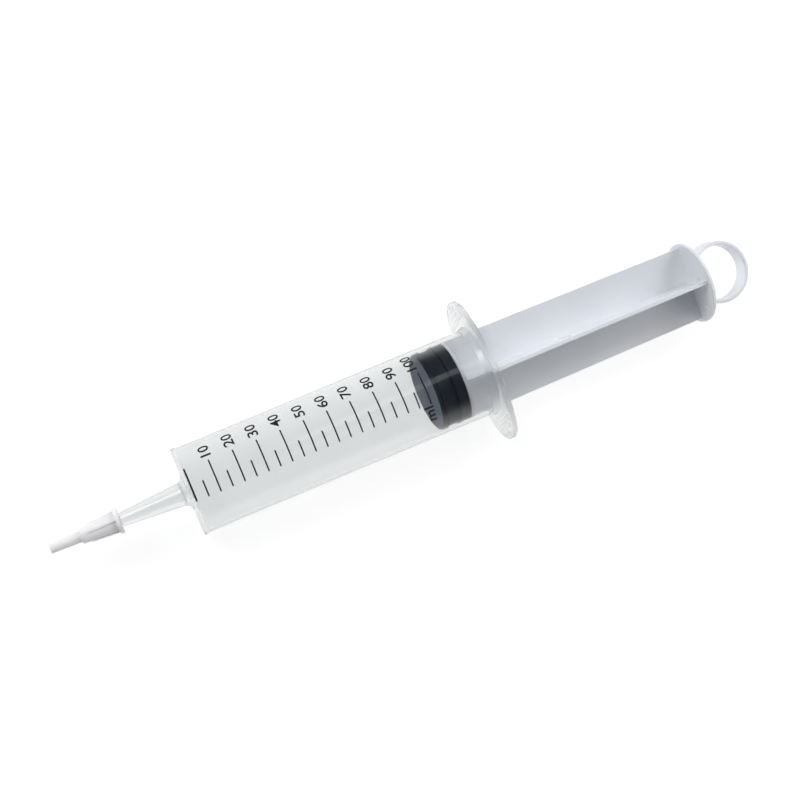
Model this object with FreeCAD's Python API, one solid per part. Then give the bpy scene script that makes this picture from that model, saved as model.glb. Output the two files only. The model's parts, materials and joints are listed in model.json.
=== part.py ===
import FreeCAD, Part
import math
import os
from FreeCAD import Vector

# A 100 ml catheter tip syringe with its luer adapter, lying on one narrow side of the flange.
# Distances along the axis count from the zero mark, towards the thumb ring.
# The origin is under the middle of the syringe, with +X towards the ring and +Z up.

# Barrel tube, in millimetres. The scale from 0 to 100 ml holds 100 ml in this bore.
bore_r = 17.6
scale_length = 102.8
wall_front = 0.95
wall_rear = 1.75
tube_length = 132.1

# Front end of the barrel
end_wall = 1.8
end_cone_deg = 2.0
rim_step = 0.5
nozzle_length = 34.8
nozzle_root_r = 4.8
nozzle_taper = 0.0756
nozzle_fillet = 3.8
nozzle_fillet_length = 3.4
nozzle_fillet_steps = 5
nozzle_bore_root_r = 2.6
nozzle_bore_tip_r = 1.2
nozzle_edge = 0.3

# Finger flange
flange_thickness = 2.7
flange_ear = 13.1
flange_side = 0.6
flange_flat = 0.35
flange_edge = 0.5
flange_root = 1.0
flange_root_length = 3.1
grip_count = 5
grip_pitch = 1.7
grip_width = 0.8
grip_height = 0.45
grip_border = 2.0

# Open end of the barrel: a short funnel, and a recess that the thumb disc sinks into
funnel_length = 2.6
funnel_step = 0.5
recess_depth = 3.0
recess_clearance = 0.3
recess_edge = 0.2

# Rubber piston
piston_beyond = 3.9
piston_length = 12.9
piston_clearance = 0.05
piston_edge = 0.35
land_depth = 0.3
seal_depth = 0.8
seal_width = 0.9
seal_crown = 0.3
seal_spacing = 6.3
seal_inset = 1.5

# Plunger rod
rod_gap = 0.12
rod_clearance = 0.15
rod_tail_loss = 0.75
rib_thickness = 1.5
head_disc_thickness = 1.3
head_disc_inset = 0.05
snap_stem_r = 5.0
snap_head_r = 8.5
snap_head_thickness = 2.4
snap_lead = 0.7
snap_stem_length = 3.0
snap_clearance = 0.08
rod_turn_deg = 19.5
bottom_gap = 0.3
seat_gap = 0.3

# Thumb disc and thumb ring
disc_r = 18.6
disc_thickness = 1.8
disc_edge = 0.4
ring_hole_r = 12.3
ring_wall = 1.75
ring_width = 8.3
ring_edge = 0.4

# Luer adapter
adapter_clearance = 0.05
adapter_overlap = 9.3
adapter_end_gap = 0.3
luer_tip_r = 1.975
luer_length = 12.8
luer_taper = 0.03
luer_bore_r = 1.05
adapter_front_wall = 1.1
adapter_front_length = 3.4
adapter_rear_wall = 1.45
adapter_shoulder = 3.5
adapter_flange_step = 1.35
adapter_flange_thickness = 1.5
fin_count = 4
fin_height = 0.45
fin_thickness = 1.0

# Cuts run this far past the faces that they open
overrun = 1.0

# Places along the axis, worked out from the sizes above
end_slope = math.tan(math.radians(end_cone_deg))
front_r = bore_r + wall_front
rear_r = bore_r + wall_rear
rim_r = front_r + rim_step
bore_front = -(bore_r - nozzle_bore_root_r) * end_slope
nozzle_start = -end_wall - nozzle_fillet_length
nozzle_tip = nozzle_start - nozzle_length
nozzle_tip_r = nozzle_root_r - nozzle_taper * nozzle_length
flange_front = tube_length
flange_rear = flange_front + flange_thickness
root_front = flange_front - flange_root_length
recess_front = flange_rear - recess_depth
recess_r = disc_r + recess_clearance
funnel_front = recess_front - funnel_length
open_end_r = max(rear_r, recess_r + recess_edge)
flange_half_long = open_end_r + flange_ear
flange_half_short = open_end_r + flange_side
piston_front = scale_length + piston_beyond
piston_rear = piston_front + piston_length
rod_r = bore_r - rod_clearance
rod_front = piston_rear + rod_gap
disc_front = recess_front + piston_front - bottom_gap + seat_gap
disc_rear = disc_front + disc_thickness
ring_centre = disc_rear + ring_hole_r
ring_r = ring_hole_r + ring_wall
adapter_rear = nozzle_tip + adapter_overlap
socket_end = nozzle_tip - adapter_end_gap
luer_root = socket_end - adapter_shoulder - adapter_front_length
luer_tip = luer_root - luer_length
syringe_middle = (luer_tip + ring_centre + ring_r) / 2.0
lying_height = max(flange_half_short, disc_r, rim_r)


def nozzle_r_at(x):
    return nozzle_root_r - nozzle_taper * (nozzle_start - x)


def turned(points):
    """A solid turned about the axis from (place, radius) points."""
    outline = [Vector(x, r, 0) for x, r in points]
    face = Part.Face(Part.makePolygon(outline + outline[:1]))
    return face.revolve(Vector(0, 0, 0), Vector(1, 0, 0), 360)


def placed(shape):
    """The shape moved from the axis to where the syringe lies, on the ground."""
    shape.translate(Vector(-syringe_middle, 0, lying_height))
    return shape


def oval_prism(long_r, short_r, start, length):
    """An oval of four arcs that meet smoothly, run along the axis. Its long side lies along Y."""
    slant = math.hypot(long_r, short_r)
    reach = (slant - (long_r - short_r)) / 2
    end_r = reach * slant / long_r
    side_r = (slant + (long_r - short_r)) / 2 * slant / short_r
    end_centre = long_r - end_r
    side_centre = side_r - short_r
    away = math.hypot(end_centre, side_centre)
    join_y = end_centre + end_r * end_centre / away
    join_z = end_r * side_centre / away
    edges = []
    for side in (1, -1):
        edges.append(Part.Arc(
            Vector(start, side * join_y, -side * join_z), Vector(start, side * long_r, 0),
            Vector(start, side * join_y, side * join_z)).toShape())
        edges.append(Part.Arc(
            Vector(start, side * join_y, side * join_z), Vector(start, 0, side * short_r),
            Vector(start, -side * join_y, side * join_z)).toShape())
    return Part.Face(Part.Wire(edges)).extrude(Vector(length, 0, 0))


def flat_slab(start, length):
    """The room between the two narrow sides, which are flat so that the syringe lies still on one."""
    end = start + length
    side = flange_half_short
    inner = side - flange_edge
    outline = [
        Vector(x, -flange_half_long - overrun, z) for x, z in (
            (start, -side), (end - flange_edge, -side), (end, -inner),
            (end, inner), (end - flange_edge, side), (start, side))
    ]
    width = (flange_half_long + overrun) * 2
    return Part.Face(Part.makePolygon(outline + outline[:1])).extrude(Vector(0, width, 0))


def make_flange():
    plate = oval_prism(flange_half_long, flange_half_short + flange_flat, flange_front, flange_thickness)
    outer = [edge for edge in plate.Edges if isinstance(edge.Curve, Part.Circle)]
    return plate.makeChamfer(flange_edge, outer).common(flat_slab(flange_front, flange_thickness))


def make_grips():
    """Low bars across the front of both ears, each as long as the oval leaves room for."""
    long_r = flange_half_long - grip_border
    short_r = flange_half_short - grip_border
    bars = []
    for side in (-1, 1):
        for index in range(grip_count):
            y = side * (long_r - grip_pitch * (index + 0.5))
            half = short_r * math.sqrt(1.0 - (y / long_r) ** 2)
            size = (grip_height * 2, grip_width, half * 2)
            corner = Vector(flange_front - grip_height, y - grip_width / 2, -half)
            bars.append(Part.makeBox(*size, corner))
    return bars


def fillet_points():
    """The hollow curve from the end wall down to the root of the nozzle."""
    points = []
    for index in range(nozzle_fillet_steps + 1):
        angle = math.radians(90.0 * index / nozzle_fillet_steps)
        x = -end_wall - nozzle_fillet_length * (1 - math.cos(angle))
        points.append((x, nozzle_root_r + nozzle_fillet * (1 - math.sin(angle))))
    return points


def make_barrel():
    body = turned(
        [(nozzle_tip, 0), (nozzle_tip, nozzle_tip_r - nozzle_edge),
         (nozzle_tip + nozzle_edge, nozzle_r_at(nozzle_tip + nozzle_edge))]
        + fillet_points()[::-1]
        + [(-end_wall, rim_r), (0, rim_r), (0, front_r),
           (flange_front, rear_r), (flange_rear, rear_r), (flange_rear, 0)]
    )
    chamber = turned([
        (nozzle_tip - overrun, 0), (nozzle_tip - overrun, nozzle_bore_tip_r),
        (nozzle_tip, nozzle_bore_tip_r),
        (bore_front, nozzle_bore_root_r), (0, bore_r), (funnel_front, bore_r),
        (recess_front, bore_r + funnel_step), (recess_front, recess_r),
        (flange_rear - recess_edge, recess_r), (flange_rear, recess_r + recess_edge),
        (flange_rear + overrun, recess_r + recess_edge), (flange_rear + overrun, 0),
    ])
    collar = turned([
        (root_front, 0), (root_front, rear_r), (flange_front, open_end_r + flange_root), (flange_front, 0),
    ])
    oval = oval_prism(flange_half_long, flange_half_short + flange_flat, root_front, flange_root_length)
    room = flat_slab(root_front - overrun, flange_root_length + overrun * 2)
    collar = collar.common(oval).common(room)
    body = body.fuse([make_flange(), collar] + make_grips())
    return body.cut(chamber).removeSplitter()


def seal_points(start, before_r, seal_r, after_r):
    """One thin sealing lip: it rises to a narrow crown and falls again, from one land to the next."""
    flank = (seal_width - seal_crown) / 2
    return [
        (start, before_r), (start + flank, seal_r),
        (start + flank + seal_crown, seal_r), (start + seal_width, after_r),
    ]


def make_piston():
    seal_r = bore_r - piston_clearance
    land_r = seal_r - land_depth
    waist_r = seal_r - seal_depth
    face_r = land_r - piston_edge
    tip_r = face_r / 4.0
    tip = piston_front - (face_r - tip_r) * end_slope
    first = piston_front + seal_inset
    blank = turned(
        [(tip, 0), (tip, tip_r), (piston_front, face_r), (piston_front + piston_edge, land_r)]
        + seal_points(first, land_r, seal_r, waist_r)
        + seal_points(first + seal_spacing, waist_r, seal_r, land_r)
        + [(piston_rear - piston_edge, land_r), (piston_rear, face_r), (piston_rear, 0)]
    )
    stem = snap_stem_r + snap_clearance
    head = snap_head_r + snap_clearance
    head_rear = piston_rear - snap_stem_length + snap_clearance
    head_front = piston_rear - snap_stem_length - snap_head_thickness - snap_clearance
    socket = turned([
        (head_front, 0), (head_front, head), (head_rear, head),
        (head_rear, stem), (piston_rear + overrun, stem), (piston_rear + overrun, 0),
    ])
    return blank.cut(socket)


def make_rib():
    """One flat rib across the full rod, thinner in span towards the thumb disc."""
    tail_r = rod_r - rod_tail_loss
    outline = [
        Vector(rod_front, -rod_r, 0), Vector(disc_rear, -tail_r, 0),
        Vector(disc_rear, tail_r, 0), Vector(rod_front, rod_r, 0),
    ]
    rib = Part.Face(Part.makePolygon(outline + outline[:1]))
    rib = rib.extrude(Vector(0, 0, rib_thickness))
    rib.translate(Vector(0, 0, -rib_thickness / 2))
    return rib


def make_ring():
    """The thumb ring: a short tube standing on the disc, its hole along the same way as one rib."""
    half = ring_width / 2
    outline = [
        (half, ring_hole_r + ring_edge), (half, ring_r - ring_edge), (half - ring_edge, ring_r),
        (ring_edge - half, ring_r), (-half, ring_r - ring_edge), (-half, ring_hole_r + ring_edge),
        (ring_edge - half, ring_hole_r), (half - ring_edge, ring_hole_r),
    ]
    ring = turned(outline)
    ring.rotate(Vector(0, 0, 0), Vector(0, 1, 0), 90)
    ring.translate(Vector(ring_centre, 0, 0))
    return ring


def make_rod():
    head_disc_r = rod_r - head_disc_inset
    snap_rear = piston_rear - snap_stem_length
    snap_front = snap_rear - snap_head_thickness
    snap = turned([
        (snap_front, 0), (snap_front, snap_head_r * snap_lead),
        (snap_front + snap_head_thickness / 2, snap_head_r),
        (snap_rear, snap_head_r), (snap_rear, snap_stem_r), (rod_front, snap_stem_r),
        (rod_front, head_disc_r), (rod_front + head_disc_thickness, head_disc_r),
        (rod_front + head_disc_thickness, 0),
    ])
    disc = turned([
        (disc_front, 0), (disc_front, disc_r - disc_edge), (disc_front + disc_edge, disc_r),
        (disc_rear - disc_edge, disc_r), (disc_rear, disc_r - disc_edge), (disc_rear, 0),
    ])
    flat_rib = make_rib()
    upright_rib = make_rib()
    upright_rib.rotate(Vector(0, 0, 0), Vector(1, 0, 0), 90)
    rod = snap.fuse([disc, flat_rib, upright_rib, make_ring()]).removeSplitter()
    rod.rotate(Vector(0, 0, 0), Vector(1, 0, 0), rod_turn_deg)
    return rod


def make_fin(start, start_r, end, end_r):
    """One long fin on the adapter's body, standing up from the axis."""
    outline = [Vector(start, 0, 0), Vector(start, start_r, 0), Vector(end, end_r, 0), Vector(end, 0, 0)]
    fin = Part.Face(Part.makePolygon(outline + outline[:1])).extrude(Vector(0, 0, fin_thickness))
    fin.translate(Vector(0, 0, -fin_thickness / 2))
    return fin


def make_adapter():
    luer_root_r = luer_tip_r + luer_taper * luer_length
    body_rear = adapter_rear - adapter_flange_thickness
    front_r = nozzle_tip_r + adapter_front_wall
    rear_r = nozzle_r_at(body_rear) + adapter_rear_wall
    flange_r = rear_r + adapter_flange_step
    blank = turned([
        (luer_tip, 0), (luer_tip, luer_tip_r), (luer_root, luer_root_r), (luer_root, front_r),
        (body_rear, rear_r), (body_rear, flange_r), (adapter_rear, flange_r), (adapter_rear, 0),
    ])
    fin_front = luer_root + adapter_front_length
    fin_front_r = front_r + (rear_r - front_r) * adapter_front_length / (body_rear - luer_root)
    fins = []
    for index in range(fin_count):
        fin = make_fin(fin_front, fin_front_r + fin_height, body_rear, rear_r + fin_height)
        fin.rotate(Vector(0, 0, 0), Vector(1, 0, 0), 360.0 * index / fin_count)
        fins.append(fin)
    mouth_r = nozzle_r_at(adapter_rear) + adapter_clearance
    socket_r = nozzle_tip_r + adapter_clearance
    socket = turned([
        (luer_tip - overrun, 0), (luer_tip - overrun, luer_bore_r), (socket_end, luer_bore_r),
        (socket_end, socket_r), (nozzle_tip, socket_r), (adapter_rear, mouth_r),
        (adapter_rear + overrun, mouth_r), (adapter_rear + overrun, 0),
    ])
    return blank.fuse(fins).cut(socket).removeSplitter()


pieces = {
    "barrel": make_barrel(),
    "piston": make_piston(),
    "plunger_rod": make_rod(),
    "luer_adapter": make_adapter(),
}
os.makedirs("parts", exist_ok=True)
for name, shape in pieces.items():
    placed(shape).exportStep("parts/" + name + ".step")
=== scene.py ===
# %% [markdown]
# # Catheter tip syringe
# A large irrigation syringe: a clear graduated barrel, a dark rubber piston on a white plunger rod
# with a thumb ring, and a grey luer adapter pushed onto the catheter tip. The solids come from the
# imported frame, which is the right size already. This lesson gives them their finish, adds the
# printing on the barrel, and sets up the floor, the light and the camera.

# %% Load the frame
import json
import math

import bmesh
import bpy
from mathutils import Matrix, Vector

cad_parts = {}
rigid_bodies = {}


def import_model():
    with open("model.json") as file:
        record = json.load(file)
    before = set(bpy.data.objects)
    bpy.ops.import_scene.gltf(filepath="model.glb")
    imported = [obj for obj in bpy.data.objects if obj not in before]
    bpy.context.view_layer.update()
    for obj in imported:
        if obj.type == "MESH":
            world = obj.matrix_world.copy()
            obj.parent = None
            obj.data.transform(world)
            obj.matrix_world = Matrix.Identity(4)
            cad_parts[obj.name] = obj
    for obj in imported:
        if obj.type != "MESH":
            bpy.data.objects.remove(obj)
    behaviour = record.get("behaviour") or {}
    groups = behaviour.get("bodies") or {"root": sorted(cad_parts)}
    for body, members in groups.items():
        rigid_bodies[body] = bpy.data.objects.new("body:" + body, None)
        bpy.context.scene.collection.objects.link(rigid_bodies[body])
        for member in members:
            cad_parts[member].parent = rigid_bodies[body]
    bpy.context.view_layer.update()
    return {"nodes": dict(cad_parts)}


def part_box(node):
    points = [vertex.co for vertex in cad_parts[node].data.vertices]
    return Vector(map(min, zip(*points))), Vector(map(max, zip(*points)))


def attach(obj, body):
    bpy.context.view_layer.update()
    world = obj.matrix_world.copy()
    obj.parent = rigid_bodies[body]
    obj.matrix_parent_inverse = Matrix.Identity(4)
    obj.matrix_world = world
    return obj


for leftover in list(bpy.data.objects):
    bpy.data.objects.remove(leftover, do_unlink=True)
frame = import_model()
print("nodes:", sorted(frame["nodes"]))

# %% [markdown]
# ## Where things are
# The barrel lies along X with its axis a little above the ground. The printing is placed from the
# zero mark, which is a known distance in front of the flange's rear face, and it follows the
# barrel's slight taper. Angles go round the barrel from straight up towards +Y.

# %% Places along the barrel
MM = 0.001
barrel_low, barrel_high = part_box("barrel")
axis_z = (barrel_low.z + barrel_high.z) / 2
flange_rear = 134.8 * MM
tube_length = 132.1 * MM
scale_length = 102.8 * MM
front_radius = 18.55 * MM
rear_radius = 19.35 * MM
zero_x = barrel_high.x - flange_rear
radius_growth = (rear_radius - front_radius) / tube_length
print("zero mark at x =", round(zero_x / MM, 2), "mm, axis at z =", round(axis_z / MM, 2), "mm")

# %% [markdown]
# ## Helpers for node trees
# Materials and Geometry Nodes are both graphs. These helpers add a node with its settings, join two
# sockets, and do one sum, so that each tree below reads as a short list of steps.


# %% Node helpers
def add_node(tree, kind, **settings):
    node = tree.nodes.new(kind)
    for name, value in settings.items():
        setattr(node, name, value)
    return node


def join(tree, source, target):
    tree.links.new(source, target)


def add_input(tree, name, kind, value):
    socket = tree.interface.new_socket(name, in_out="INPUT", socket_type=kind)
    if value is not None:
        socket.default_value = value
    return socket


def maths(tree, operation, first, second=None, third=None):
    node = add_node(tree, "ShaderNodeMath", operation=operation)
    for socket, value in zip(node.inputs, (first, second, third)):
        if isinstance(value, (int, float)):
            socket.default_value = value
        elif value is not None:
            join(tree, value, socket)
    return node.outputs[0]


def group_of(tree, group, **values):
    node = add_node(tree, "ShaderNodeGroup")
    node.node_tree = group
    for name, value in values.items():
        node.inputs[name.replace("_", " ")].default_value = value
    return node


# %% [markdown]
# ## A moulded surface
# Injection moulded plastic is never quite even: the colour clouds a little where it cooled, and
# the gloss changes with tiny ripples. One shader group makes both from noise in object space, so
# every plastic and the rubber can use it with their own colours and scales.


# %% Group for moulded surfaces
def make_moulded_group():
    tree = bpy.data.node_groups.new("Moulded surface", "ShaderNodeTree")
    add_input(tree, "Colour", "NodeSocketColor", (0.8, 0.8, 0.8, 1.0))
    add_input(tree, "Cloud colour", "NodeSocketColor", (0.7, 0.7, 0.7, 1.0))
    add_input(tree, "Cloud scale", "NodeSocketFloat", 60.0)
    add_input(tree, "Gloss low", "NodeSocketFloat", 0.2)
    add_input(tree, "Gloss high", "NodeSocketFloat", 0.3)
    add_input(tree, "Grain scale", "NodeSocketFloat", 900.0)
    tree.interface.new_socket("Colour", in_out="OUTPUT", socket_type="NodeSocketColor")
    tree.interface.new_socket("Roughness", in_out="OUTPUT", socket_type="NodeSocketFloat")
    tree.interface.new_socket("Height", in_out="OUTPUT", socket_type="NodeSocketFloat")
    given = add_node(tree, "NodeGroupInput")
    made = add_node(tree, "NodeGroupOutput")
    place = add_node(tree, "ShaderNodeTexCoord")
    cloud = add_node(tree, "ShaderNodeTexNoise")
    cloud.inputs["Detail"].default_value = 3.0
    join(tree, place.outputs["Object"], cloud.inputs["Vector"])
    join(tree, given.outputs["Cloud scale"], cloud.inputs["Scale"])
    spread = add_node(tree, "ShaderNodeMapRange")
    spread.inputs["From Min"].default_value = 0.35
    spread.inputs["From Max"].default_value = 0.65
    join(tree, cloud.outputs["Fac"], spread.inputs["Value"])
    tint = add_node(tree, "ShaderNodeMix", data_type="RGBA")
    join(tree, spread.outputs["Result"], tint.inputs["Factor"])
    join(tree, given.outputs["Colour"], tint.inputs["A"])
    join(tree, given.outputs["Cloud colour"], tint.inputs["B"])
    grain = add_node(tree, "ShaderNodeTexNoise")
    grain.inputs["Detail"].default_value = 2.0
    join(tree, place.outputs["Object"], grain.inputs["Vector"])
    join(tree, given.outputs["Grain scale"], grain.inputs["Scale"])
    gloss = add_node(tree, "ShaderNodeMapRange")
    join(tree, cloud.outputs["Fac"], gloss.inputs["Value"])
    join(tree, given.outputs["Gloss low"], gloss.inputs["To Min"])
    join(tree, given.outputs["Gloss high"], gloss.inputs["To Max"])
    join(tree, tint.outputs["Result"], made.inputs["Colour"])
    join(tree, gloss.outputs["Result"], made.inputs["Roughness"])
    join(tree, grain.outputs["Fac"], made.inputs["Height"])
    return tree


moulded = make_moulded_group()
print("group inputs:", [item.name for item in moulded.interface.items_tree if item.in_out == "INPUT"])

# %% [markdown]
# ## Distance from the axis
# Two looks change with the distance from the syringe's axis. The barrel is polished outside but
# not inside. The rubber's faces are lighter, a painted reflection; its side is darker and its two
# lips, where they press on the wall, black, both painted shade. One group measures that distance
# in object space and puts out a mask that rises from 0 to 1 between two radii.


# %% Group for the distance from the axis
def make_radius_group():
    tree = bpy.data.node_groups.new("Distance from axis", "ShaderNodeTree")
    add_input(tree, "Axis height", "NodeSocketFloat", axis_z)
    add_input(tree, "Inner radius", "NodeSocketFloat", 0.017)
    add_input(tree, "Outer radius", "NodeSocketFloat", 0.018)
    tree.interface.new_socket("Mask", in_out="OUTPUT", socket_type="NodeSocketFloat")
    given = add_node(tree, "NodeGroupInput")
    made = add_node(tree, "NodeGroupOutput")
    place = add_node(tree, "ShaderNodeTexCoord")
    parts = add_node(tree, "ShaderNodeSeparateXYZ")
    join(tree, place.outputs["Object"], parts.inputs["Vector"])
    across = parts.outputs["Y"]
    up = maths(tree, "SUBTRACT", parts.outputs["Z"], given.outputs["Axis height"])
    across_squared = maths(tree, "MULTIPLY", across, across)
    squares = maths(tree, "ADD", across_squared, maths(tree, "MULTIPLY", up, up))
    ramp = add_node(tree, "ShaderNodeMapRange")
    join(tree, maths(tree, "SQRT", squares), ramp.inputs["Value"])
    join(tree, given.outputs["Inner radius"], ramp.inputs["From Min"])
    join(tree, given.outputs["Outer radius"], ramp.inputs["From Max"])
    join(tree, ramp.outputs["Result"], made.inputs["Mask"])
    return tree


axis_distance = make_radius_group()
print("measured from an axis at z =", round(axis_z / MM, 2), "mm")

# %% [markdown]
# ## Finishes
# Each finish is a Principled BSDF fed by the group. The barrel lets most light through, so that
# the piston and the rod show inside it. The rod is white polypropylene with a soft gloss, the
# piston a dull blue-black rubber, and the adapter a milky grey plastic.


# %% Finish maker
def make_finish(name, bump=0.05, bump_distance=0.02 * MM, sockets=None, **values):
    material = bpy.data.materials.new(name)
    material.use_nodes = True
    tree = material.node_tree
    shader = tree.nodes["Principled BSDF"]
    surface = group_of(tree, moulded, **values)
    join(tree, surface.outputs["Colour"], shader.inputs["Base Color"])
    join(tree, surface.outputs["Roughness"], shader.inputs["Roughness"])
    ripple = add_node(tree, "ShaderNodeBump")
    ripple.inputs["Strength"].default_value = bump
    ripple.inputs["Distance"].default_value = bump_distance
    join(tree, surface.outputs["Height"], ripple.inputs["Height"])
    join(tree, ripple.outputs["Normal"], shader.inputs["Normal"])
    for socket, value in (sockets or {}).items():
        shader.inputs[socket].default_value = value
    return material


# %% Finishes of the four mouldings
clear_plastic = make_finish(
    "Clear polypropylene", bump=0.005,
    Colour=(0.890, 0.900, 0.900, 1), Cloud_colour=(0.874, 0.887, 0.890, 1), Cloud_scale=25.0,
    Gloss_low=0.09, Gloss_high=0.13, Grain_scale=500.0,
    sockets={"Transmission Weight": 1.0, "IOR": 1.18, "Coat Roughness": 0.06, "Coat IOR": 1.5},
)
white_plastic = make_finish(
    "White polypropylene",
    Colour=(0.78, 0.80, 0.83, 1), Cloud_colour=(0.74, 0.77, 0.81, 1), Cloud_scale=40.0,
    Gloss_low=0.24, Gloss_high=0.34, Grain_scale=900.0,
)
# The rubber's colour is painted lighter and bluer than the rubber itself, a painted reflection on the
# piston's front face; its side and lips are set darker below.
dark_rubber = make_finish(
    "Dark rubber", bump=0.1,
    Colour=(0.048, 0.078, 0.130, 1), Cloud_colour=(0.043, 0.070, 0.117, 1), Cloud_scale=120.0,
    Gloss_low=0.38, Gloss_high=0.5, Grain_scale=2500.0,
    sockets={"Specular IOR Level": 0.18},
)
grey_plastic = make_finish(
    "Milky grey plastic",
    Colour=(0.96, 0.95, 0.96, 1), Cloud_colour=(0.93, 0.92, 0.93, 1), Cloud_scale=90.0,
    Gloss_low=0.4, Gloss_high=0.5, Grain_scale=1200.0,
    sockets={"Transmission Weight": 0.15, "IOR": 1.28},
)
black_ink = make_finish(
    "Black ink", bump=0.1,
    Colour=(0.008, 0.008, 0.010, 1), Cloud_colour=(0.016, 0.016, 0.018, 1), Cloud_scale=400.0,
    Gloss_low=0.45, Gloss_high=0.6, Grain_scale=3000.0,
    sockets={"Specular IOR Level": 0.2},
)
for finish in (clear_plastic, white_plastic, dark_rubber, grey_plastic, black_ink):
    print(finish.name, "has", len(finish.node_tree.nodes), "nodes")

# %% [markdown]
# ## Polish, frost and painted shade on the rubber
# The barrel's polish is a clear coat that only its outside has. Its flange and root collar come
# frosted out of the mould, and the nozzle half as much, so the roughness changes along the barrel.
# The rubber is painted darker in two steps with its radius, as painted shade: on its side, and once
# more on the lips.


# %% Polish and frost on the barrel
polish_radii = (17.8 * MM, 18.2 * MM)
nose_end = zero_x - 1.0 * MM
frost_start = zero_x + 127.5 * MM
frost_full = zero_x + 131.5 * MM
frosted_roughness = 0.5
nozzle_frost = 0.5


def add_barrel_zones(material):
    """The coat is kept to the outside, and the roughness rises on the nozzle and the flange."""
    tree = material.node_tree
    shader = tree.nodes["Principled BSDF"]
    place = add_node(tree, "ShaderNodeTexCoord")
    parts = add_node(tree, "ShaderNodeSeparateXYZ")
    join(tree, place.outputs["Object"], parts.inputs["Vector"])
    inner, outer = polish_radii
    wall = group_of(tree, axis_distance, Inner_radius=inner, Outer_radius=outer)
    nose = maths(tree, "LESS_THAN", parts.outputs["X"], nose_end)
    join(tree, maths(tree, "MAXIMUM", wall.outputs["Mask"], nose), shader.inputs["Coat Weight"])
    frost = add_node(tree, "ShaderNodeMapRange", interpolation_type="SMOOTHSTEP")
    join(tree, parts.outputs["X"], frost.inputs["Value"])
    frost.inputs["From Min"].default_value = frost_start
    frost.inputs["From Max"].default_value = frost_full
    both_ends = maths(tree, "MULTIPLY_ADD", nose, nozzle_frost, frost.outputs["Result"])
    gloss = shader.inputs["Roughness"].links[0].from_socket
    blend = add_node(tree, "ShaderNodeMix", data_type="FLOAT")
    join(tree, both_ends, blend.inputs["Factor"])
    join(tree, gloss, blend.inputs["A"])
    blend.inputs["B"].default_value = frosted_roughness
    join(tree, blend.outputs["Result"], shader.inputs["Roughness"])


add_barrel_zones(clear_plastic)
print("the barrel is frosted from", round((frost_start - zero_x) / MM, 1), "mm behind the zero mark")


# %% Painted shade on the rubber's side and lips
def darken_beyond(material, inner_radius, outer_radius, colour):
    """Past these radii the base colour gives way to a darker one."""
    tree = material.node_tree
    shader = tree.nodes["Principled BSDF"]
    ring = group_of(tree, axis_distance, Inner_radius=inner_radius, Outer_radius=outer_radius)
    blend = add_node(tree, "ShaderNodeMix", data_type="RGBA")
    join(tree, ring.outputs["Mask"], blend.inputs["Factor"])
    join(tree, shader.inputs["Base Color"].links[0].from_socket, blend.inputs["A"])
    blend.inputs["B"].default_value = colour
    join(tree, blend.outputs["Result"], shader.inputs["Base Color"])


# Painted shade: the rubber's side is darker, and its two lips are black where they press on the wall.
side_painted_shade = (0.014, 0.020, 0.031, 1)
lip_painted_shade = (0.001, 0.001, 0.002, 1)
darken_beyond(dark_rubber, 16.5 * MM, 16.7 * MM, side_painted_shade)
darken_beyond(dark_rubber, 17.3 * MM, 17.45 * MM, lip_painted_shade)
print(dark_rubber.name, "now has", len(dark_rubber.node_tree.nodes), "nodes")

# %% Give each moulding its finish
finishes = {
    "barrel": clear_plastic,
    "plunger_rod": white_plastic,
    "piston": dark_rubber,
    "luer_adapter": grey_plastic,
}
for node_name, finish in finishes.items():
    for slot in frame["nodes"][node_name].material_slots:
        slot.material = finish
    print(node_name, "is", finish.name)

# %% [markdown]
# ## The graduation marks
# A scale is one short ink line repeated, which is what Geometry Nodes do best. The tree lays thin
# flat bars on a line, realizes them, and then wraps every point round the barrel: how far it lies
# from the scale's middle becomes an angle, and its height adds to the barrel's radius there. The
# numerals are wrapped by the same tree, so marks and numbers share one curved sheet.


# %% Tree that wraps flat print round the barrel
def make_wrap_group():
    """Points come in flat: X along the barrel from the zero mark, Y as an angle, Z as a height."""
    tree = bpy.data.node_groups.new("Wrap round barrel", "GeometryNodeTree")
    tree.interface.new_socket("Geometry", in_out="INPUT", socket_type="NodeSocketGeometry")
    add_input(tree, "Zero x", "NodeSocketFloat", zero_x)
    add_input(tree, "Axis z", "NodeSocketFloat", axis_z)
    add_input(tree, "Front radius", "NodeSocketFloat", front_radius)
    add_input(tree, "Growth", "NodeSocketFloat", radius_growth)
    tree.interface.new_socket("Geometry", in_out="OUTPUT", socket_type="NodeSocketGeometry")
    given = add_node(tree, "NodeGroupInput")
    made = add_node(tree, "NodeGroupOutput")
    flat = add_node(tree, "GeometryNodeInputPosition")
    parts = add_node(tree, "ShaderNodeSeparateXYZ")
    join(tree, flat.outputs["Position"], parts.inputs["Vector"])
    along, angle, height = parts.outputs
    taper = maths(tree, "MULTIPLY", along, given.outputs["Growth"])
    radius = maths(tree, "ADD", maths(tree, "ADD", taper, height), given.outputs["Front radius"])
    place = add_node(tree, "ShaderNodeCombineXYZ")
    join(tree, maths(tree, "ADD", along, given.outputs["Zero x"]), place.inputs["X"])
    join(tree, maths(tree, "MULTIPLY", radius, maths(tree, "SINE", angle)), place.inputs["Y"])
    upright = maths(tree, "MULTIPLY", radius, maths(tree, "COSINE", angle))
    join(tree, maths(tree, "ADD", upright, given.outputs["Axis z"]), place.inputs["Z"])
    wrap = add_node(tree, "GeometryNodeSetPosition")
    join(tree, given.outputs["Geometry"], wrap.inputs["Geometry"])
    join(tree, place.outputs["Vector"], wrap.inputs["Position"])
    join(tree, wrap.outputs["Geometry"], made.inputs["Geometry"])
    return tree


wrap_group = make_wrap_group()
print("wrap tree has", len(wrap_group.nodes), "nodes")

# %% [markdown]
# One row of marks is a thin bar on each point of a mesh line. A bar has many narrow strips across
# its length, so that it can bend round the barrel.


# %% Tree that lays out one row of marks
strip_corners = 25


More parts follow.
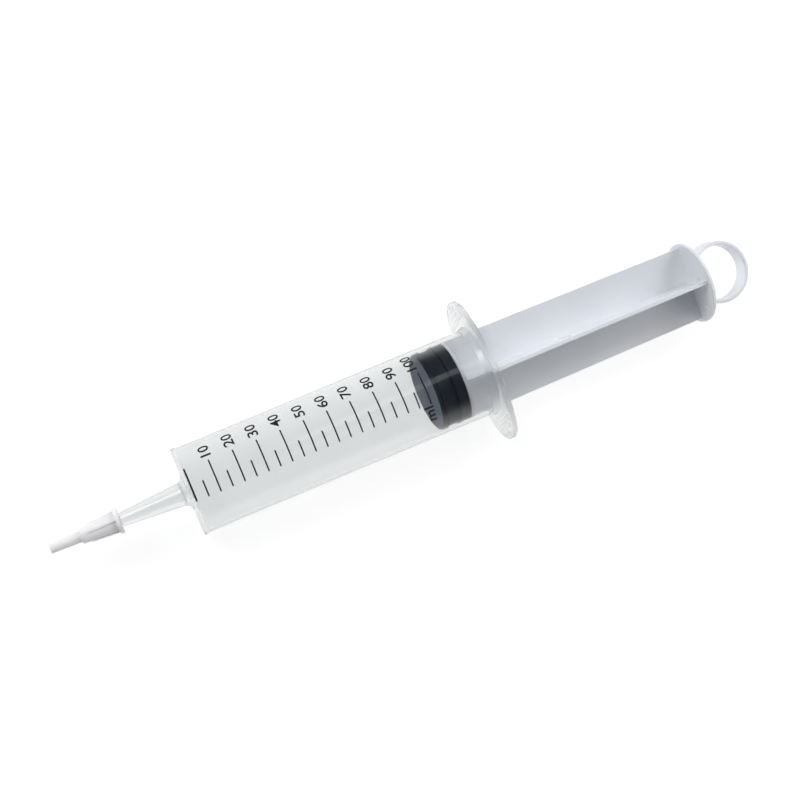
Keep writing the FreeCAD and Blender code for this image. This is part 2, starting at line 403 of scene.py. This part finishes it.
def make_marks_tree():
    tree = bpy.data.node_groups.new("Graduation marks", "GeometryNodeTree")
    tree.interface.new_socket("Geometry", in_out="INPUT", socket_type="NodeSocketGeometry")
    add_input(tree, "Count", "NodeSocketInt", 10)
    add_input(tree, "Start", "NodeSocketFloat", 0.0)
    add_input(tree, "Spacing", "NodeSocketFloat", 0.01)
    add_input(tree, "Width", "NodeSocketFloat", 0.0005)
    add_input(tree, "Low angle", "NodeSocketFloat", 0.0)
    add_input(tree, "High angle", "NodeSocketFloat", 0.5)
    add_input(tree, "Thickness", "NodeSocketFloat", 0.00002)
    add_input(tree, "Ink", "NodeSocketMaterial", None)
    tree.interface.new_socket("Geometry", in_out="OUTPUT", socket_type="NodeSocketGeometry")
    given = add_node(tree, "NodeGroupInput")
    made = add_node(tree, "NodeGroupOutput")
    reach = maths(tree, "SUBTRACT", given.outputs["High angle"], given.outputs["Low angle"])
    size = add_node(tree, "ShaderNodeCombineXYZ")
    join(tree, given.outputs["Width"], size.inputs["X"])
    join(tree, reach, size.inputs["Y"])
    join(tree, given.outputs["Thickness"], size.inputs["Z"])
    bar = add_node(tree, "GeometryNodeMeshCube")
    bar.inputs["Vertices Y"].default_value = strip_corners
    join(tree, size.outputs["Vector"], bar.inputs["Size"])
    step = add_node(tree, "ShaderNodeCombineXYZ")
    join(tree, given.outputs["Spacing"], step.inputs["X"])
    start = add_node(tree, "ShaderNodeCombineXYZ")
    join(tree, given.outputs["Start"], start.inputs["X"])
    middle = maths(tree, "ADD", given.outputs["Low angle"], maths(tree, "MULTIPLY", reach, 0.5))
    join(tree, middle, start.inputs["Y"])
    join(tree, maths(tree, "MULTIPLY", given.outputs["Thickness"], 0.5), start.inputs["Z"])
    row = add_node(tree, "GeometryNodeMeshLine", mode="OFFSET")
    join(tree, given.outputs["Count"], row.inputs["Count"])
    join(tree, start.outputs["Vector"], row.inputs["Start Location"])
    join(tree, step.outputs["Vector"], row.inputs["Offset"])
    spread = add_node(tree, "GeometryNodeInstanceOnPoints")
    join(tree, row.outputs["Mesh"], spread.inputs["Points"])
    join(tree, bar.outputs["Mesh"], spread.inputs["Instance"])
    real = add_node(tree, "GeometryNodeRealizeInstances")
    join(tree, spread.outputs["Instances"], real.inputs["Geometry"])
    wrap = add_node(tree, "GeometryNodeGroup")
    wrap.node_tree = wrap_group
    join(tree, real.outputs["Geometry"], wrap.inputs["Geometry"])
    paint = add_node(tree, "GeometryNodeSetMaterial")
    join(tree, wrap.outputs["Geometry"], paint.inputs["Geometry"])
    join(tree, given.outputs["Ink"], paint.inputs["Material"])
    join(tree, paint.outputs["Geometry"], made.inputs["Geometry"])
    return tree


marks_tree = make_marks_tree()
print("marks tree has", len(marks_tree.nodes), "nodes")


# %% Run a tree and keep its plain mesh
def run_tree(obj, tree, **values):
    modifier = obj.modifiers.new("Nodes", "NODES")
    modifier.node_group = tree
    for item in tree.interface.items_tree:
        key = item.name.replace(" ", "_")
        if item.item_type == "SOCKET" and item.in_out == "INPUT" and key in values:
            modifier[item.identifier] = values[key]
    obj.update_tag()
    graph = bpy.context.evaluated_depsgraph_get()
    plain = bpy.data.meshes.new_from_object(obj.evaluated_get(graph), depsgraph=graph)
    obj.modifiers.clear()
    old = obj.data
    obj.data = plain
    bpy.data.meshes.remove(old)
    return obj


def new_object(name, mesh=None):
    obj = bpy.data.objects.new(name, mesh or bpy.data.meshes.new(name))
    bpy.context.scene.collection.objects.link(obj)
    return obj


# %% [markdown]
# The long marks stand every 10 ml and carry the numbers. The short ones stand between them and
# reach less far round the barrel, and the zero mark is one bolder line. The ink stands three
# hundredths of a millimetre proud.

# %% Three kinds of mark
INK = 0.03 * MM
mark_low = math.radians(-25.9)
long_high = math.radians(17.1)
short_high = math.radians(-4.6)
zero_high = math.radians(18.2)
line_width = 0.62 * MM
ten_ml = scale_length / 10
mark_kinds = {
    "long_marks": dict(Count=10, Start=ten_ml, Width=line_width, High_angle=long_high),
    "short_marks": dict(Count=10, Start=ten_ml / 2, Width=line_width, High_angle=short_high),
    "zero_mark": dict(Count=1, Start=0.0, Width=0.75 * MM, High_angle=zero_high),
}
for name, sizes in mark_kinds.items():
    marks = run_tree(
        new_object(name), marks_tree,
        Spacing=ten_ml, Low_angle=mark_low, Thickness=INK, Ink=black_ink, **sizes,
    )
    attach(marks, "barrel")
    print(name, len(marks.data.polygons), "faces")

# %% [markdown]
# ## The numbers
# Each number reads across the barrel, with its top towards the tip. It is a text curve turned
# into a mesh, then cut into narrow strips, because a long straight stroke has to bend round the
# barrel with the rest. The wrap tree then lays it on the curved surface.


# %% Flat text
cap_share = 0.73  # the height of a capital, as a share of the font size
bolder = 0.021  # how far each stroke swells, as a share of that height
letter_spacing = 1.02
letter_stretch = 1.22


def flat_text(words, cap_height):
    curve = bpy.data.curves.new("words", "FONT")
    curve.body = words
    curve.size = cap_height / cap_share
    curve.offset = bolder * cap_height
    curve.extrude = INK / 2
    curve.space_character = letter_spacing
    holder = new_object("words", curve)
    graph = bpy.context.evaluated_depsgraph_get()
    mesh = bpy.data.meshes.new_from_object(holder.evaluated_get(graph))
    mesh.transform(Matrix.Diagonal((letter_stretch, 1, 1, 1)))
    bpy.data.objects.remove(holder)
    return mesh


def cut_in_strips(mesh, axis, spacing):
    work = bmesh.new()
    work.from_mesh(mesh)
    bmesh.ops.remove_doubles(work, verts=work.verts, dist=1e-7)
    values = [vertex.co[axis] for vertex in work.verts]
    normal = Vector((0, 0, 0))
    normal[axis] = 1
    steps = int((max(values) - min(values)) / spacing)
    for index in range(1, steps + 1):
        point = normal * (min(values) + index * spacing)
        everything = work.verts[:] + work.edges[:] + work.faces[:]
        bmesh.ops.bisect_plane(work, geom=everything, plane_co=point, plane_no=normal, dist=1e-9)
    work.to_mesh(mesh)
    work.free()


# %% Wrapped ink
strip_width = 0.4 * MM


def wrapped_text(name, words, cap_height, distance, low_angle=None, high_angle=None, forward=0.0):
    """Words that read round the barrel, from low_angle up or down from high_angle."""
    mesh = flat_text(words, cap_height)
    cut_in_strips(mesh, 0, strip_width)
    radius = front_radius + radius_growth * distance
    right = max(vertex.co.x for vertex in mesh.vertices)
    left = min(vertex.co.x for vertex in mesh.vertices)
    start = low_angle if high_angle is None else high_angle - (right - left) / radius
    for vertex in mesh.vertices:
        x, y, z = vertex.co
        along = distance + cap_height / 2 - forward - y
        vertex.co = (along, start + (x - left) / radius, z + INK / 2)
    mesh.materials.append(black_ink)
    label = run_tree(new_object(name, mesh), wrap_only)
    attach(label, "barrel")
    return label


def make_wrap_only():
    tree = bpy.data.node_groups.new("Wrap text", "GeometryNodeTree")
    tree.interface.new_socket("Geometry", in_out="INPUT", socket_type="NodeSocketGeometry")
    add_input(tree, "Ink", "NodeSocketMaterial", black_ink)
    tree.interface.new_socket("Geometry", in_out="OUTPUT", socket_type="NodeSocketGeometry")
    given = add_node(tree, "NodeGroupInput")
    made = add_node(tree, "NodeGroupOutput")
    wrap = add_node(tree, "GeometryNodeGroup")
    wrap.node_tree = wrap_group
    join(tree, given.outputs["Geometry"], wrap.inputs["Geometry"])
    paint = add_node(tree, "GeometryNodeSetMaterial")
    join(tree, wrap.outputs["Geometry"], paint.inputs["Geometry"])
    join(tree, given.outputs["Ink"], paint.inputs["Material"])
    join(tree, paint.outputs["Geometry"], made.inputs["Geometry"])
    return tree


wrap_only = make_wrap_only()
print("text tree has", len(wrap_only.nodes), "nodes")

# %% [markdown]
# The numbers stand a little forward of their marks. The last one makes room for the unit, which is
# printed on the other side of its mark.

# %% Print the numbers and the unit
numeral_height = 4.45 * MM
number_low = math.radians(23.0)
number_forward = 0.35 * MM
last_forward = 1.5 * MM
for step in range(1, 11):
    number = str(step * 10)
    forward = last_forward if step == 10 else number_forward
    place = step * ten_ml
    label = wrapped_text("number_" + number, number, numeral_height, place, number_low, forward=forward)
    print(label.name, len(label.data.vertices), "vertices")
unit_high = math.radians(-28.4)
unit_forward = 1.7 * MM
unit = wrapped_text(
    "unit_ml", "ml", numeral_height, 10 * ten_ml, high_angle=unit_high, forward=unit_forward,
)
print(unit.name, len(unit.data.vertices), "vertices")

# %% [markdown]
# ## Floor, light and camera
# The syringe lies on a plain white table under soft light. The floor is white to the camera and
# still takes the object's shadow. A broad fill on the right is the strongest lamp, so the thumb
# disc shades its own front and the end of the rod. A weaker key lamp stands beyond the barrel,
# and a warm one low at the side lightens the lower faces. A curved clear wall mirrors only the
# lamps in one narrow band of directions. These three stand outside it, and one faint lamp stands
# inside it for the pale stripe along the piston.


# %% Floor
floor_half = 3.0
floor_glow = 0.7
seen_glow = 0.17  # what rays from the camera, or through the barrel, see on top of it


def make_floor():
    material = bpy.data.materials.new("White table")
    material.use_nodes = True
    tree = material.node_tree
    shader = tree.nodes["Principled BSDF"]
    shader.inputs["Base Color"].default_value = (0.2, 0.2, 0.2, 1)
    shader.inputs["Roughness"].default_value = 0.9
    shader.inputs["Specular IOR Level"].default_value = 0.0
    glow = add_node(tree, "ShaderNodeEmission")
    glow.inputs["Color"].default_value = (1, 1, 1, 1)
    rays = add_node(tree, "ShaderNodeLightPath")
    seen = maths(tree, "MAXIMUM", rays.outputs["Is Camera Ray"], rays.outputs["Is Transmission Ray"])
    join(tree, maths(tree, "MULTIPLY_ADD", seen, seen_glow, floor_glow), glow.inputs["Strength"])
    both = add_node(tree, "ShaderNodeAddShader")
    join(tree, shader.outputs["BSDF"], both.inputs[0])
    join(tree, glow.outputs["Emission"], both.inputs[1])
    join(tree, both.outputs["Shader"], tree.nodes["Material Output"].inputs["Surface"])
    mesh = bpy.data.meshes.new("floor")
    corners = [(x * floor_half, y * floor_half, 0) for x, y in ((-1, -1), (1, -1), (1, 1), (-1, 1))]
    mesh.from_pydata(corners, [], [(0, 1, 2, 3)])
    mesh.materials.append(material)
    floor = new_object("floor", mesh)
    return floor


floor = make_floor()
print(floor.name, "is", floor_half * 2, "m wide")


# %% Light
def add_lamp(name, place, aim, size, power, colour=(1, 1, 1)):
    data = bpy.data.lights.new(name, "AREA")
    data.shape = "RECTANGLE"
    data.size, data.size_y = size
    data.energy = power
    data.color = colour
    lamp = new_object(name, data)
    lamp.location = place
    lamp.rotation_euler = (Vector(aim) - Vector(place)).to_track_quat("-Z", "Y").to_euler()
    print(name, "lamp gives", power, "W")
    return lamp


def make_world():
    """White to the camera, and a pale horizon under a darker ceiling to everything else."""
    made = bpy.data.worlds.new("Studio")
    bpy.context.scene.world = made
    made.use_nodes = True
    tree = made.node_tree
    sky = tree.nodes["Background"]
    place = add_node(tree, "ShaderNodeTexCoord")
    parts = add_node(tree, "ShaderNodeSeparateXYZ")
    join(tree, place.outputs["Generated"], parts.inputs["Vector"])
    rise = add_node(tree, "ShaderNodeMapRange", interpolation_type="SMOOTHSTEP")
    rise.inputs["From Min"].default_value = 0.0
    rise.inputs["From Max"].default_value = 0.35
    join(tree, parts.outputs["Z"], rise.inputs["Value"])
    room = add_node(tree, "ShaderNodeMix", data_type="RGBA")
    join(tree, rise.outputs["Result"], room.inputs["Factor"])
    room.inputs["A"].default_value = (0.62, 0.62, 0.61, 1)
    room.inputs["B"].default_value = (0.10, 0.105, 0.12, 1)
    rays = add_node(tree, "ShaderNodeLightPath")
    pick = add_node(tree, "ShaderNodeMix", data_type="RGBA")
    join(tree, rays.outputs["Is Camera Ray"], pick.inputs["Factor"])
    join(tree, room.outputs["Result"], pick.inputs["A"])
    pick.inputs["B"].default_value = (1, 1, 1, 1)
    join(tree, pick.outputs["Result"], sky.inputs["Color"])
    sky.inputs["Strength"].default_value = 1.0


make_world()
add_lamp("key", (-0.55, 0.58, 0.95), (-0.06, 0, 0), (0.5, 0.9), 9.5)
add_lamp("right fill", (1.36, 0.43, 0.94), (0, 0, 0), (1.3, 1.0), 20.0)
add_lamp("stripe", (0.069, 0.05, 0.43), (-0.013, 0, axis_z), (0.085, 0.20), 0.058)
add_lamp("warm side", (0.95, -0.8, 0.26), (0.1, 0, 0), (0.6, 0.3), 4.6, (1.0, 0.95, 0.89))

# %% [markdown]
# The camera looks down on the barrel, a little towards the thumb ring, and it is rolled so that
# the syringe climbs across the picture from lower left to upper right. Its place, its aim and its
# lens come from matching the graduation marks and the outlines.

# %% Camera
camera_place = Vector((-114.375, -96.88, 518.357)) * MM
camera_aim = Vector((-8.128, 1.522, 19.95)) * MM
camera_roll = math.radians(23.493)
camera_data = bpy.data.cameras.new("camera")
camera_data.sensor_width = 36.0
camera_data.lens = 54.833
camera_data.clip_start = 0.01
camera = new_object("camera", camera_data)
camera.location = camera_place
camera.rotation_euler = ((camera_aim - camera_place).to_track_quat("-Z", "Y").to_matrix()
                         @ Matrix.Rotation(camera_roll, 3, "Z")).to_euler()
bpy.context.scene.camera = camera
bpy.context.scene.view_settings.view_transform = "Standard"
print("camera is", round((camera_aim - camera_place).length / MM), "mm from what it aims at")
